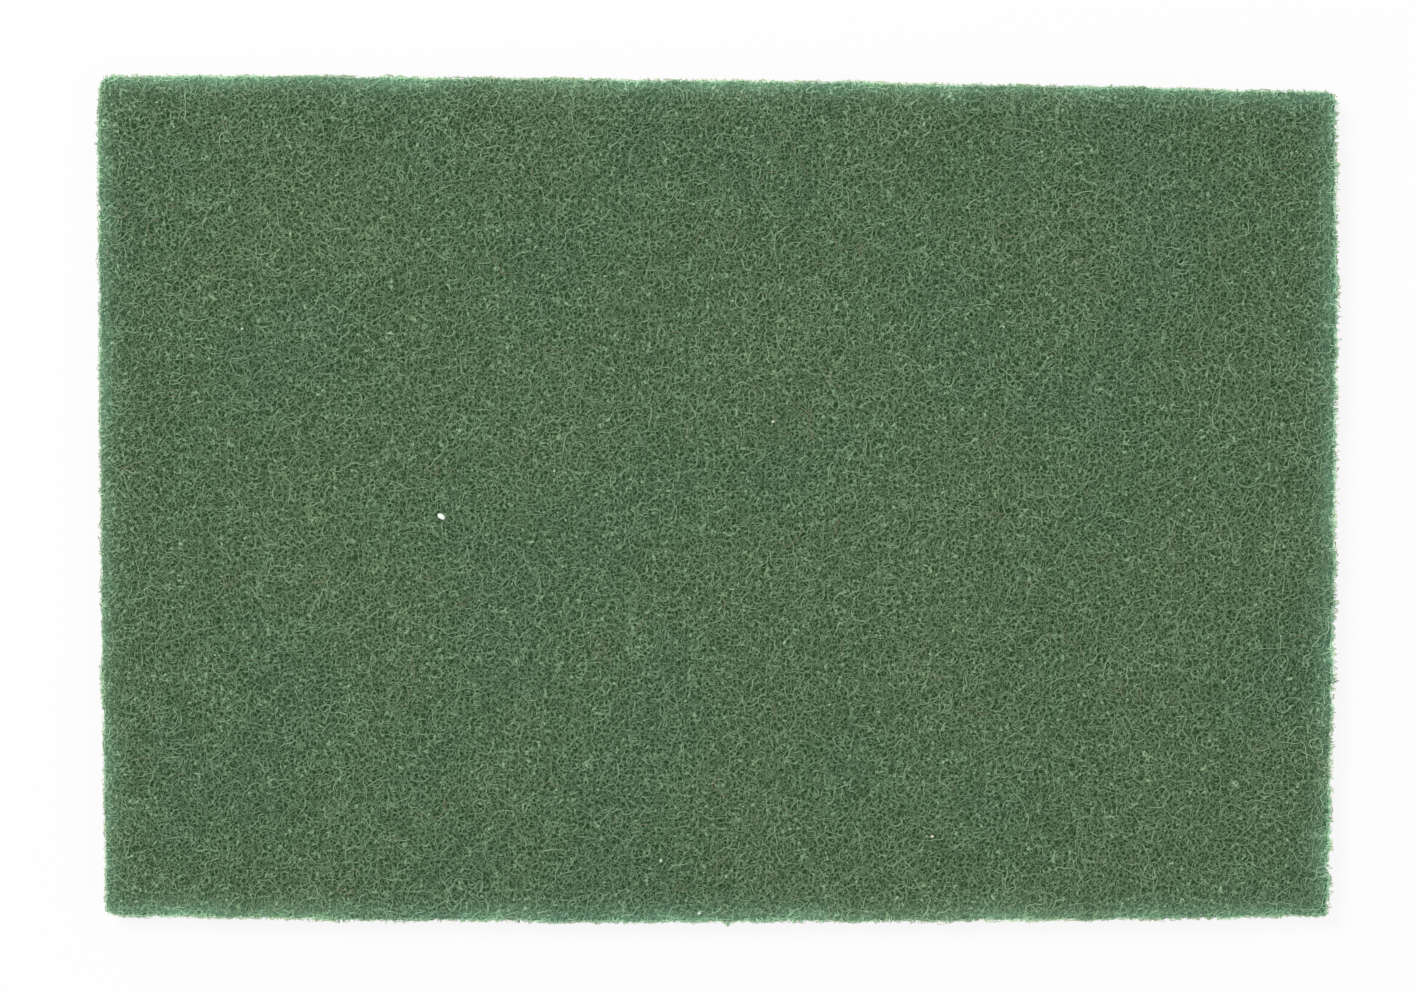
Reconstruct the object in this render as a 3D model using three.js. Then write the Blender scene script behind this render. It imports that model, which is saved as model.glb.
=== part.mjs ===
// A nylon scouring pad: one piece of springy non-woven web, cut from a wide roll with a blade.
// Millimetres, +Z up. The pad lies flat on its underside, X runs along its length and Y across it.
// The origin is in the middle of the pad's outline, on the plane that it rests on.
import * as THREE from "three";
import { ImprovedNoise } from "three/addons/math/ImprovedNoise.js";
import { mergeVertices } from "three/addons/utils/BufferGeometryUtils.js";

// Overall sizes. Length and width are those of the middle of the pad.
const padLength = 228.6;
const padWidth = 154.5;
const padThickness = 7.0;

// The blade ran a little off square: the back edge is longer than the front one, and it slopes,
// so that the left side is longer than the right one.
const backEdgeExtra = 3.0;
const leftSideExtra = 3.1;

// How far each cut edge bellies outwards in its middle.
const backBow = 0.65;
const frontBow = 1.1;
const leftBow = 0.15;
const rightBow = 0.65;

// The rim: the blade presses the web down, so both faces fall away towards the cut edge.
const cornerRadius = 1.2;
const shoulderRun = 1.5;
const shoulderDrop = 1.1;

// The cut face between the two shoulders is rough. Its roughness changes along these distances.
const cutRoughness = 0.7;
const cutPitchAlong = 2.3;
const cutPitchUp = 1.1;

// The web is laid by air, so it is thicker in some places than in others: wide lumps, and small
// tufts on them. The underside has them too, but its high spots lie pressed flat on one plane.
const lumpHeight = 0.5;
const lumpPitch = 19;
const tuftHeight = 0.6;
const tuftPitch = 9.5;
const upperLayer = 0.5;
const lowerLayer = 7.5;

// The size of the facets that follow the lumps and tufts, and the number of rough rings on the cut.
const facetSize = 4.4;
const cutRings = 2;

const webGreen = 0x54704f;

const noise = new ImprovedNoise();

// 0 at both ends of an edge, and 1 in its middle.
const belly = (share) => 4 * share * (1 - share);

// A place on the pad seen from above: u runs from the left side to the right one, v from front to back.
function place(u, v) {
  const across = (u - 0.5) * (padLength + backEdgeExtra * (v - 0.5));
  const along = (v - 0.5) * padWidth - v * (u - 0.5) * leftSideExtra;
  const sideBow = belly(v) * (u * rightBow - (1 - u) * leftBow);
  const endBow = belly(u) * (v * backBow - (1 - v) * frontBow);
  return new THREE.Vector2(across + sideBow, along + endBow);
}

// Which way is out of the pad at a place on its rim: straight out of a side, or slanting at a corner.
const outwards = (u, v) => new THREE.Vector2(Math.trunc(2 * u - 1), Math.trunc(2 * v - 1)).normalize();

// A place on the rim, with the corner of the pad rounded off.
function rimPlace(u, v) {
  const onCorner = Math.abs(2 * u - 1) === 1 && Math.abs(2 * v - 1) === 1;
  const trimmed = onCorner ? cornerRadius * (Math.SQRT2 - 1) : 0;
  return place(u, v).addScaledVector(outwards(u, v), -trimmed);
}

// How far the web stands above or below its even thickness at a place on one of its layers.
function loft(spot, layer) {
  const lumps = noise.noise(spot.x / lumpPitch, spot.y / lumpPitch, layer);
  const tufts = noise.noise(spot.x / tuftPitch, spot.y / tuftPitch, 2 * layer);
  return lumpHeight * lumps + tuftHeight * tufts;
}

const upperHeight = (spot) => padThickness + loft(spot, upperLayer);
const lowerHeight = (spot) => Math.max(0, loft(spot, lowerLayer));

// The shares of a side at which grid lines cross it: one at each end, one where each shoulder begins,
// and evenly spaced ones between.
function gridShares(sideLength) {
  const shoulder = shoulderRun / sideLength;
  const count = Math.round(sideLength / facetSize);
  const inner = Array.from({ length: count + 1 }, (_, i) => shoulder + (i / count) * (1 - 2 * shoulder));
  return [0, ...inner, 1];
}

const uShares = gridShares(padLength);
const vShares = gridShares(padWidth);
const lastU = uShares.length - 1;
const lastV = vShares.length - 1;

// The triangles of one face of the pad, seen from above: a grid of points at the heights that the
// face has, with the rim at the height where its shoulder ends.
function face(heightAt, rimHeight) {
  const point = (i, j) => {
    const [u, v] = [uShares[i], vShares[j]];
    const onRim = i === 0 || j === 0 || i === lastU || j === lastV;
    const spot = onRim ? rimPlace(u, v) : place(u, v);
    return new THREE.Vector3(spot.x, spot.y, onRim ? rimHeight : heightAt(spot));
  };
  const corners = [];
  for (let i = 0; i < lastU; i += 1) {
    for (let j = 0; j < lastV; j += 1) {
      const [a, b, c, d] = [point(i, j), point(i + 1, j), point(i + 1, j + 1), point(i, j + 1)];
      corners.push(a, b, c, a, c, d);
    }
  }
  return corners;
}

// The grid places round the rim, counter-clockwise from the front left corner.
const rimShares = [
  ...uShares.slice(0, lastU).map((u) => [u, 0]),
  ...vShares.slice(0, lastV).map((v) => [1, v]),
  ...uShares.slice(1).reverse().map((u) => [u, 1]),
  ...vShares.slice(1).reverse().map((v) => [0, v]),
];

// A ring of points round the cut edge at one height, standing in or out by up to the given roughness.
function cutRing(height, roughness) {
  return rimShares.map(([u, v]) => {
    const spot = rimPlace(u, v);
    const [along, up] = [(spot.x + spot.y) / cutPitchAlong, height / cutPitchUp];
    spot.addScaledVector(outwards(u, v), roughness * noise.noise(along, up, upperLayer));
    return new THREE.Vector3(spot.x, spot.y, height);
  });
}

// Triangles between two rings of the same number of points, the first above the second.
function wall([upper, lower]) {
  return upper.flatMap((point, k) => {
    const next = (k + 1) % upper.length;
    return [point, lower[k], lower[next], point, lower[next], upper[next]];
  });
}

// The cut edge: a clean ring at each shoulder, and rough rings evenly spaced between them.
function cutEdge() {
  const [top, foot] = [padThickness - shoulderDrop, shoulderDrop];
  const rings = Array.from({ length: cutRings + 2 }, (_, k) => {
    const height = THREE.MathUtils.lerp(top, foot, k / (cutRings + 1));
    const clean = k === 0 || k === cutRings + 1;
    return cutRing(height, clean ? 0 : cutRoughness);
  });
  return rings.slice(1).flatMap((ring, k) => wall([rings[k], ring]));
}

// The whole pad as one closed surface, with its outline centred on the origin.
function padGeometry() {
  const upperFace = face(upperHeight, padThickness - shoulderDrop);
  const lowerFace = face(lowerHeight, shoulderDrop).reverse();
  const soup = new THREE.BufferGeometry().setFromPoints([...upperFace, ...cutEdge(), ...lowerFace]);
  const geometry = mergeVertices(soup, 1e-3);
  geometry.computeBoundingBox();
  const middle = geometry.boundingBox.getCenter(new THREE.Vector3());
  geometry.translate(-middle.x, -middle.y, 0);
  geometry.computeVertexNormals();
  return geometry;
}

const webMaterial = new THREE.MeshStandardMaterial({ color: webGreen, roughness: 0.9, metalness: 0 });
const scouringPad = new THREE.Mesh(padGeometry(), webMaterial);
scouringPad.name = "scouring_pad";

const pad = new THREE.Group();
pad.add(scouringPad);

export default pad;
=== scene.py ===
"""A nylon scouring pad: a springy web of crimped nylon fibres, bonded with green resin and cut to size.

The pad is built as the real one is: strands of crimped staple fibre lie in laps over a dense middle,
cut ends stand out of the edges that the blade made, and beads of resin hold the strands together.
Shapes are worked out in millimetres and turned to metres when a mesh is made.
"""

from __future__ import annotations

import logging
import math
from dataclasses import dataclass, field
from enum import Enum

import bmesh
import bpy
import numpy as np
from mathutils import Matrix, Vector
from mathutils.bvhtree import BVHTree

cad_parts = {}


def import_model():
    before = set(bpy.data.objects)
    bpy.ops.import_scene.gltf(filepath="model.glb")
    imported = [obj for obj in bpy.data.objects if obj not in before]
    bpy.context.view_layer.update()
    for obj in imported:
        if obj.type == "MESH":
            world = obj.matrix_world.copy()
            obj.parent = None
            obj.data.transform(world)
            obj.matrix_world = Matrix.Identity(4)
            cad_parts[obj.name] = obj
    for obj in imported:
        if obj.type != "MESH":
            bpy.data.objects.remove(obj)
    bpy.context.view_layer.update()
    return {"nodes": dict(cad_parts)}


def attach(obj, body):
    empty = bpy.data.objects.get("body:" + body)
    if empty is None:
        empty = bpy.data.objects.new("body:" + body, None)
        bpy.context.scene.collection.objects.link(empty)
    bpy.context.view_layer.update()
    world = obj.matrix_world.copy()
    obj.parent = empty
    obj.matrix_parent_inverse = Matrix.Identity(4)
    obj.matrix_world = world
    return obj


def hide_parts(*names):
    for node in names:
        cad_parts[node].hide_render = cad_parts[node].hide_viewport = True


Tree = bpy.types.NodeTree
Socket = bpy.types.NodeSocket

LOG = logging.getLogger("scouring_pad")
MILLIMETRE = 0.001
PAD_NODE = "scouring_pad"
BODY = "root"
BAKE_MAP = "OFBake"
WEB_MAP = "web_place"
TUBE_SIDES = 3
LUMP_LIMITS = (0.7, 1.5)


def linear(sheet_colour: str) -> tuple[float, float, float, float]:
    """Turn an sRGB colour into the linear one that shaders take.

    Args:
        sheet_colour: Six hex digits, red, green and blue.

    Returns:
        Linear red, green and blue, and an alpha of 1.
    """
    shares = [int(sheet_colour[i : i + 2], 16) / 255 for i in (0, 2, 4)]
    lit = [s / 12.92 if s <= 0.04045 else ((s + 0.055) / 1.055) ** 2.4 for s in shares]
    return (*lit, 1.0)


def add_node(tree: Tree, kind: str, settings: dict, **links: object) -> bpy.types.Node:
    """Add one shader node with its settings and what feeds it.

    Args:
        tree: The node tree that takes the node.
        kind: Blender's name of the node type.
        settings: Node properties by name, and socket values by socket name or number.
        **links: Output sockets that feed the node, by input name with _ for a space, or i and a number.

    Returns:
        The new node.
    """
    node = tree.nodes.new(kind)
    for key, value in settings.items():
        if isinstance(key, str) and hasattr(node, key):
            setattr(node, key, value)
        else:
            node.inputs[key].default_value = value
    for key, source in links.items():
        numbered = key[0] == "i" and key[1:].isdigit()
        tree.links.new(source, node.inputs[int(key[1:]) if numbered else key.replace("_", " ")])
    return node


def shade_ramp(tree: Tree, source: Socket, stops: list[tuple[float, str]]) -> Socket:
    """Add a colour ramp.

    Args:
        tree: The node tree that takes it.
        source: The value that runs along the ramp.
        stops: Places on the ramp, from 0 to 1, with their sRGB colours.

    Returns:
        The ramp's colour socket.
    """
    ramp = add_node(tree, "ShaderNodeValToRGB", {}, i0=source)
    elements = ramp.color_ramp.elements
    while len(elements) < len(stops):
        elements.new(0.5)
    for element, (place, colour) in zip(elements, stops):
        element.position = place
        element.color = linear(colour)
    return ramp.outputs["Color"]


class Side(Enum):
    """A cut edge of the pad, with the axis that it faces along and which way it faces."""

    LEFT = (0, -1)
    RIGHT = (0, 1)
    FRONT = (1, -1)
    BACK = (1, 1)

    @property
    def facing(self) -> int:
        """The axis that the cut edge faces along: 0 for X, 1 for Y."""
        return self.value[0]

    @property
    def sign(self) -> int:
        """1 where the edge faces along its axis, -1 where it faces against it."""
        return self.value[1]


@dataclass(frozen=True)
class Bulge:
    """A place on a cut edge where the web stands out in a tuft, or falls back if the reach is negative."""

    place: float
    reach: float
    half_width: float

    def at(self, along: np.ndarray) -> np.ndarray:
        """Find how far the edge stands out there.

        Args:
            along: Places along the edge.

        Returns:
            How far out it stands at each place.
        """
        return self.reach * np.exp(-(((along - self.place) / self.half_width) ** 2))


@dataclass
class PadShape:
    """The pad's form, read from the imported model's solid and kept as height maps, in millimetres."""

    node: bpy.types.Object
    face_pitch: float = 0.75
    edge_pitch: float = 1.0
    edge_levels: int = 15
    edge_foot: float = 0.2
    edge_head: float = 0.4
    overrun: float = 5.0
    corner_radius: float = 0.7
    shoulder_reach: float = 1.6
    bow_error: float = 1.2
    light_reach: float = 1.45
    light_patches: float = 0.35
    foot_light: float = 0.3
    loose_reach: float = 0.25
    loose_light: float = 0.5
    lit_height: float = 5.0
    rag_pitch: float = 0.12
    rag_share: float = 0.85
    fringe: dict[Side, float] = field(
        default_factory=lambda: {Side.LEFT: 0.16, Side.RIGHT: 0.4, Side.FRONT: 0.16, Side.BACK: 0.3}
    )
    glow: dict[Side, float] = field(
        default_factory=lambda: {Side.LEFT: 0.68, Side.RIGHT: 1.15, Side.FRONT: 1.0, Side.BACK: 0.95}
    )
    bulges: dict[Side, Bulge] = field(
        default_factory=lambda: {
            Side.FRONT: Bulge(2.0, 0.75, 0.75),
            Side.BACK: Bulge(-115.5, -0.6, 3.2),
            Side.LEFT: Bulge(78.5, -0.5, 3.2),
        }
    )
    looseness: dict[Side, float] = field(
        default_factory=lambda: {Side.LEFT: 0.14, Side.RIGHT: 0.38, Side.FRONT: 0.16, Side.BACK: 0.15}
    )
    low: np.ndarray = field(init=False)
    high: np.ndarray = field(init=False)
    solid: BVHTree = field(init=False)
    edges: dict[Side, np.ndarray] = field(init=False)
    faces: dict[int, np.ndarray] = field(init=False)
    rags: dict[Side, np.ndarray] = field(init=False, default_factory=dict)

    def __post_init__(self) -> None:
        """Read the solid's box, its cut edges and its two faces."""
        places = np.array([v.co for v in self.node.data.vertices]) / MILLIMETRE
        polygons = [tuple(p.vertices) for p in self.node.data.polygons]
        self.low, self.high = places.min(0), places.max(0)
        self.solid = BVHTree.FromPolygons([Vector(p) for p in places], polygons)
        self.edges = {side: self._edge_map(side) for side in Side}
        self.faces = {way: self._face_map(way) for way in (1, -1)}
        self.rags = {side: self._rag_map(side) for side in Side}

    def _hit(self, origin: list[float], axis: int, way: int) -> float:
        """Cast a ray along an axis.

        Args:
            origin: Where the ray starts.
            axis: The axis that it runs along.
            way: 1 or -1, which way it runs.

        Returns:
            The place along the axis where it meets the pad, or NaN.
        """
        heading = Vector((0.0, 0.0, 0.0))
        heading[axis] = way
        met = self.solid.ray_cast(Vector(origin), heading)[0]
        return met[axis] if met is not None else math.nan

    def _edge_map(self, side: Side) -> np.ndarray:
        """Map one cut edge.

        Args:
            side: The edge.

        Returns:
            How far out the edge stands, by place along it and height.
        """
        along = 1 - side.facing
        places = np.arange(self.low[along], self.high[along] + self.edge_pitch, self.edge_pitch)
        outside = (self.high if side.sign > 0 else self.low)[side.facing] + self.overrun * side.sign
        levels = np.linspace(self.low[2] + self.edge_foot, self.high[2] - self.edge_head, self.edge_levels)
        found = np.empty((len(places), len(levels)))
        for i, place in enumerate(places):
            for j, level in enumerate(levels):
                origin = [outside, place, level] if along else [place, outside, level]
                found[i, j] = self._hit(origin, side.facing, -side.sign) * side.sign
        outermost = np.nan_to_num(found, nan=-math.inf).max(1)
        middle = slice(len(places) // 12, -len(places) // 12)
        bow = np.polyval(np.polyfit(places[middle], outermost[middle], 2), places)
        cornered = np.abs(outermost - bow) > self.bow_error
        outermost[cornered] = bow[cornered]
        found = np.fmax(found, outermost[:, None] - self.shoulder_reach)
        profile = (found[middle] - outermost[middle, None]).mean(0)
        found[cornered] = bow[cornered, None] + profile
        return (found + self.fringe[side]) * side.sign

    def _face_map(self, way: int) -> np.ndarray:
        """Map the upper or the lower face.

        Args:
            way: 1 for the upper face, -1 for the lower one.

        Returns:
            The face's height, by place along X and Y.
        """
        counts = [int((self.high[i] - self.low[i]) / self.face_pitch) + 1 for i in (0, 1)]
        xs = np.linspace(self.low[0], self.high[0], counts[0])
        ys = np.linspace(self.low[1], self.high[1], counts[1])
        grid = np.stack(np.meshgrid(xs, ys, indexing="ij"), -1).reshape(-1, 2)
        margin = max(self.fringe.values()) + 0.08
        inside = self.held_inside(grid, margin)
        start = 20.0 * way
        heights = np.array([self._hit([x, y, start], 2, -way) for x, y in inside])
        return np.nan_to_num(heights, nan=float(np.nanmedian(heights))).reshape(counts)

    def _rag_map(self, side: Side) -> np.ndarray:
        """Map how ragged the blade left an edge: small scallops where it pulled the web.

        Args:
            side: The edge.

        Returns:
            How far further out it stands, by place along it.
        """
        along = 1 - side.facing
        places = np.arange(self.low[along] - self.overrun, self.high[along] + self.overrun, self.rag_pitch)
        line = np.column_stack([places, np.zeros(len(places))])
        scallops = Mottle(51 + side.facing + 2 * side.sign, 0.9, 1.9).at(line)
        return self.rag_share * self.looseness[side] * scallops

    def ragged(self, side: Side, along: np.ndarray) -> np.ndarray:
        """Find how far an edge stands further out than its smooth line.

        Args:
            side: The edge.
            along: Places along it.

        Returns:
            The distances, on the axis that the edge faces.
        """
        if side not in self.rags:
            return np.zeros_like(along)
        rags = self.rags[side]
        start = self.low[1 - side.facing] - self.overrun
        further = np.interp(along, start + self.rag_pitch * np.arange(len(rags)), rags)
        if side in self.bulges:
            further = further + self.bulges[side].at(along)
        return further * side.sign

    def outline(self, side: Side, along: np.ndarray) -> np.ndarray:
        """Find how far out an edge stands, as seen from above.

        Args:
            side: The edge.
            along: Places along it.

        Returns:
            The outline's place on the axis that the edge faces.
        """
        reach = (self.edges[side] * side.sign).max(1) * side.sign
        start = self.low[1 - side.facing]
        cut = np.interp(along, start + self.edge_pitch * np.arange(len(reach)), reach)
        return cut + self.ragged(side, along)

    def held_inside(self, places: np.ndarray, margin: float) -> np.ndarray:
        """Move places that lie outside the outline to just inside it.

        Args:
            places: X and Y of each place.
            margin: How far inside they end up.

        Returns:
            The places, each inside the outline.
        """
        held = places.copy()
        for axis, first, last in ((0, Side.LEFT, Side.RIGHT), (1, Side.FRONT, Side.BACK)):
            least = self.outline(first, places[:, 1 - axis]) + margin
            most = self.outline(last, places[:, 1 - axis]) - margin
            held[:, axis] = np.clip(held[:, axis], least, most)
        return held

    def _gaps(self, places: np.ndarray) -> dict[Side, np.ndarray]:
        """Measure how far places lie from each cut edge.

        Args:
            places: X and Y of each place.

        Returns:
            The distances by edge, negative outside it.
        """
        x, y = places[:, 0], places[:, 1]
        return {
            Side.LEFT: x - self.outline(Side.LEFT, y),
            Side.RIGHT: self.outline(Side.RIGHT, y) - x,
            Side.FRONT: y - self.outline(Side.FRONT, x),
            Side.BACK: self.outline(Side.BACK, x) - y,
        }

    def depth_inside(self, places: np.ndarray, slack: np.ndarray | float = 0.0) -> np.ndarray:
        """Measure how far inside the outline places lie, with the corners rounded.

        Args:
            places: X and Y of each place.
            slack: How much looser than the cut each place is held, as a share of each edge's looseness.

        Returns:
            The distance to the nearest cut edge, negative outside the pad.
        """
        gaps = {side: gap + slack * self.looseness[side] for side, gap in self._gaps(places).items()}
        across = np.minimum(gaps[Side.LEFT], gaps[Side.RIGHT])
        along = np.minimum(gaps[Side.FRONT], gaps[Side.BACK])
        radius = self.corner_radius
        corner = radius - np.hypot(np.maximum(radius - across, 0), np.maximum(radius - along, 0))
        nearest = np.minimum(across, along)
        return np.where(nearest > radius, nearest, np.minimum(corner, nearest))

    def placed(self, u: np.ndarray, v: np.ndarray, inset: float = 0.0, slack: float = 0.0) -> np.ndarray:
        """Spread places over the pad in step with its outline.

        Args:
            u: Shares of the way from the left edge to the right one.
            v: Shares of the way from the front edge to the back one.
            inset: How far inside the outline the outermost places lie.
            slack: How much further they lie where an edge is loose, as a share of its looseness.

        Returns:
            X and Y of each place.
        """
        insets = {side: inset + slack * loose for side, loose in self.looseness.items()}
        x = self.low[0] + u * (self.high[0] - self.low[0])
        y = self.low[1] + v * (self.high[1] - self.low[1])
        for _ in range(3):
            left = self.outline(Side.LEFT, y) + insets[Side.LEFT]
            right = self.outline(Side.RIGHT, y) - insets[Side.RIGHT]
            front = self.outline(Side.FRONT, x) + insets[Side.FRONT]
            back = self.outline(Side.BACK, x) - insets[Side.BACK]
            x, y = left + u * (right - left), front + v * (back - front)
        return np.column_stack([x, y])

    def side_ends(self, side: Side) -> tuple[float, float]:
        """Find where a cut edge begins and ends.

        Args:
            side: The edge.

        Returns:
            The places of its two corners on the axis that it runs along.
        """
        across = np.full(2, float(side.sign > 0))
        along = np.array([0.0, 1.0])
        u, v = (across, along) if side.facing == 0 else (along, across)
        ends = self.placed(u, v)[:, 1 - side.facing]
        return float(ends[0]), float(ends[1])

    def light_through(self, points: np.ndarray) -> np.ndarray:
        """Estimate how much light comes through the thin web along the cut edges.

        Args:
            points: X, Y and Z of each point.

        Returns:
            About 1 at the upper rim, falling off with distance from the cut and with depth, and lower again
            on the loose ends outside it, which have nothing behind them that could glow.
        """
        gaps = self._gaps(points[:, :2])
        fading = {side: np.exp(-np.maximum(gap, 0) / self.light_reach) for side, gap in gaps.items()}
        glow = np.max([self.glow[side] * fade for side, fade in fading.items()], 0)
        lift = np.clip(points[:, 2] / self.lit_height, 0, 1)
        patches = 1 + self.light_patches * Mottle(41, 6, 30).at(points[:, :2])
        outside = np.clip(-self.depth_inside(points[:, :2]) / self.loose_reach, 0, 1)
        loss = 1 - (1 - self.loose_light) * outside
        return glow * (self.foot_light + (1 - self.foot_light) * lift) * patches * loss

    def face_height(self, places: np.ndarray, way: int) -> np.ndarray:
        """Find the height of a face of the pad.

        Args:
            places: X and Y of each place.
            way: 1 for the upper face, -1 for the lower one.

        Returns:
            Z at each place.
        """
        heights = self.faces[way]
        shares = (places - self.low[:2]) / (self.high[:2] - self.low[:2])
        return between(heights, shares[:, 0], shares[:, 1])

    def edge_place(self, side: Side, along: np.ndarray, level: np.ndarray) -> np.ndarray:
        """Find how far out a cut edge stands.

        Args:
            side: The edge.
            along: Places along it.
            level: Heights.

        Returns:
            Places on the axis that the edge faces.
        """
        length = self.edge_pitch * (len(self.edges[side]) - 1)
        share = (along - self.low[1 - side.facing]) / length
        height = self.high[2] - self.low[2] - self.edge_foot - self.edge_head
        rise = (level - self.low[2] - self.edge_foot) / height
        return between(self.edges[side], share, rise) + self.ragged(side, along)


def between(grid: np.ndarray, first: np.ndarray, second: np.ndarray) -> np.ndarray:
    """Read a grid between its points.

    Args:
        grid: Values by row and column.
        first: Shares, from 0 to 1, of the way down the rows.
        second: Shares of the way along the columns.

    Returns:
        The value at each place.
    """
    rows, columns = (n - 1 for n in grid.shape)
    u = np.clip(first, 0, 1) * rows
    v = np.clip(second, 0, 1) * columns
    i = np.minimum(u.astype(int), rows - 1)
    j = np.minimum(v.astype(int), columns - 1)
    s, t = u - i, v - j
    near = grid[i, j] * (1 - t) + grid[i, j + 1] * t
    far = grid[i + 1, j] * (1 - t) + grid[i + 1, j + 1] * t
    return near * (1 - s) + far * s


@dataclass(frozen=True)
class Mottle:
    """A slow, cloudy variation over the pad, from -1 to 1, as laying the web by air leaves; it also sets
    patches in the painted glow along the cuts.
    """

    seed: int
    shortest: float
    longest: float
    waves: int = 24

    def at(self, places: np.ndarray) -> np.ndarray:
        """Read the variation.

        Args:
            places: X and Y of each place.

        Returns:
            The variation at each place.
        """
        rng = np.random.default_rng(self.seed)
        total = np.zeros(len(places))
        for _ in range(self.waves):
            angle, phase = rng.uniform(0, math.tau, 2)
            length = rng.uniform(self.shortest, self.longest)
            run = places[:, 0] * math.cos(angle) + places[:, 1] * math.sin(angle)
            total += np.sin(run * math.tau / length + phase)
        return np.clip(total / math.sqrt(self.waves / 2) / 2, -1, 1)


def wander(rng: np.random.Generator, count: int, steps: int, step: float, run: float) -> np.ndarray:
    """Make smooth random variations along strands.

    Args:
        rng: Where chance comes from.
        count: How many strands.
        steps: Points on each strand.
        step: Distance between points.
        run: Distance over which the variation forgets itself.

    Returns:
        A value for each strand and point, with a mean of 0 and a spread of 1.
    """
    keep = math.exp(-step / run)
    fresh = math.sqrt(1 - keep * keep)
    values = np.empty((count, steps))
    values[:, 0] = rng.normal(size=count)
    for k in range(1, steps):
        values[:, k] = keep * values[:, k - 1] + fresh * rng.normal(size=count)
    return values


@dataclass(frozen=True)
class Crimp:
    """How a staple fibre bends: slow curls, with the short waves that the crimping box pressed in."""

    curl_radius: float
    curl_run: float
    wave_length: float
    wave_swing: float
    step: float
    longest: float
    shortest: float

    def walk(self, rng: np.random.Generator, count: int) -> tuple[np.ndarray, np.ndarray]:
        """Lay strands out flat, each starting at the origin.

        Args:
            rng: Where chance comes from.
            count: How many strands.

        Returns:
            The points, by strand and step, and the number of points that each strand keeps.
        """
        steps = int(self.longest / self.step) + 1
        curl = wander(rng, count, steps, self.step, self.curl_run) / self.curl_radius
        waves = self.wave_length * rng.uniform(0.75, 1.3, (count, 1))
        travelled = np.arange(steps) * self.step
        swing = self.wave_swing * rng.uniform(0.4, 1.3, (count, 1))
        swing = swing * np.sin(travelled * math.tau / waves + rng.uniform(0, math.tau, (count, 1)))
        heading = rng.uniform(0, math.tau, (count, 1)) + np.cumsum(curl, 1) * self.step + swing
        points = np.stack([np.cumsum(np.cos(heading), 1), np.cumsum(np.sin(heading), 1)], -1) * self.step
        kept = (rng.uniform(self.shortest, self.longest, count) / self.step).astype(int)
        return points - points.mean(1, keepdims=True), kept


@dataclass
class Strands:
    """Centre lines of fibres laid end to end, in millimetres, with what each point knows of itself."""

    points: np.ndarray
    outwards: np.ndarray
    radius: np.ndarray
    tone: np.ndarray
    straw: np.ndarray
    run: np.ndarray

    @staticmethod
    def joined(parts: list["Strands"]) -> "Strands":
        """Put several sets of strands together.

        Args:
            parts: The sets.

        Returns:
            One set that holds them all.
        """
        runs, offset = [], 0
        for part in parts:
            runs.append(part.run + offset)
            offset += int(part.run.max()) + 2
        names = ("points", "outwards", "radius", "tone", "straw")
        rest = {n: np.concatenate([getattr(p, n) for p in parts]) for n in names}
        return Strands(run=np.concatenate(runs), **rest)


def cut_to_runs(points: np.ndarray, inside: np.ndarray, kept: np.ndarray) -> tuple[np.ndarray, ...]:
    """Cut strands where they leave the pad, as the blade did.

    Args:
        points: Points by strand and step.
        inside: How far inside the cut each point lies, negative outside it.
        kept: How many points each strand has.

    Returns:
        Which points stay, the points with cut ends moved onto the cut, and a run number for each.
    """
    steps = points.shape[1]
    held = (inside >= 0) & (np.arange(steps) < kept[:, None])
    moved, stays = points.copy(), held.copy()
    for here, beyond in ((slice(0, -1), slice(1, None)), (slice(1, None), slice(0, -1))):
        crossing = held[:, here] & (inside[:, beyond] < 0) & (np.arange(steps)[beyond] < kept[:, None])
        share = inside[:, here] / np.maximum(inside[:, here] - inside[:, beyond], 1e-6)
        cut = points[:, here] + (points[:, beyond] - points[:, here]) * share[..., None]
        moved[:, beyond][crossing] = cut[crossing]
        stays[:, beyond] |= crossing
    starts = stays.copy()
    starts[:, 1:] &= ~stays[:, :-1]
    run = np.cumsum(starts.reshape(-1)).reshape(stays.shape)
    return stays, moved, run


def closed_mesh(
    name: str, points: np.ndarray, quads: np.ndarray, triangles: np.ndarray
) -> bpy.types.Object:
    """Make a smoothly shaded object from arrays.

    Args:
        name: The object's name.
        points: Places in millimetres.
        quads: Four point numbers for each four-sided face.
        triangles: Three point numbers for each three-sided face.

    Returns:
        The object, linked to the scene.
    """
    mesh = bpy.data.meshes.new(name)
    mesh.vertices.add(len(points))
    mesh.vertices.foreach_set("co", (points * MILLIMETRE).astype(np.float32).reshape(-1))
    corners = np.concatenate([quads.reshape(-1), triangles.reshape(-1)]).astype(np.int32)
    mesh.loops.add(len(corners))
    mesh.loops.foreach_set("vertex_index", corners)
    first = np.arange(len(quads)) * 4
    second = len(quads) * 4 + np.arange(len(triangles)) * 3
    mesh.polygons.add(len(quads) + len(triangles))
    mesh.polygons.foreach_set("loop_start", np.concatenate([first, second]).astype(np.int32))
    mesh.polygons.foreach_set("use_smooth", np.full(len(quads) + len(triangles), True))
    mesh.update(calc_edges=True)
    mesh.validate()
    piece = bpy.data.objects.new(name, mesh)
    bpy.context.scene.collection.objects.link(piece)
    return piece


def mark(piece: bpy.types.Object, name: str, values: np.ndarray) -> None:
    """Store one number for each point of a mesh, for its material to read.

    Args:
        piece: The object.
        name: The attribute's name.
        values: The numbers.
    """
    attribute = piece.data.attributes.new(name, "FLOAT", "POINT")
    attribute.data.foreach_set("value", values.astype(np.float32))


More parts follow.
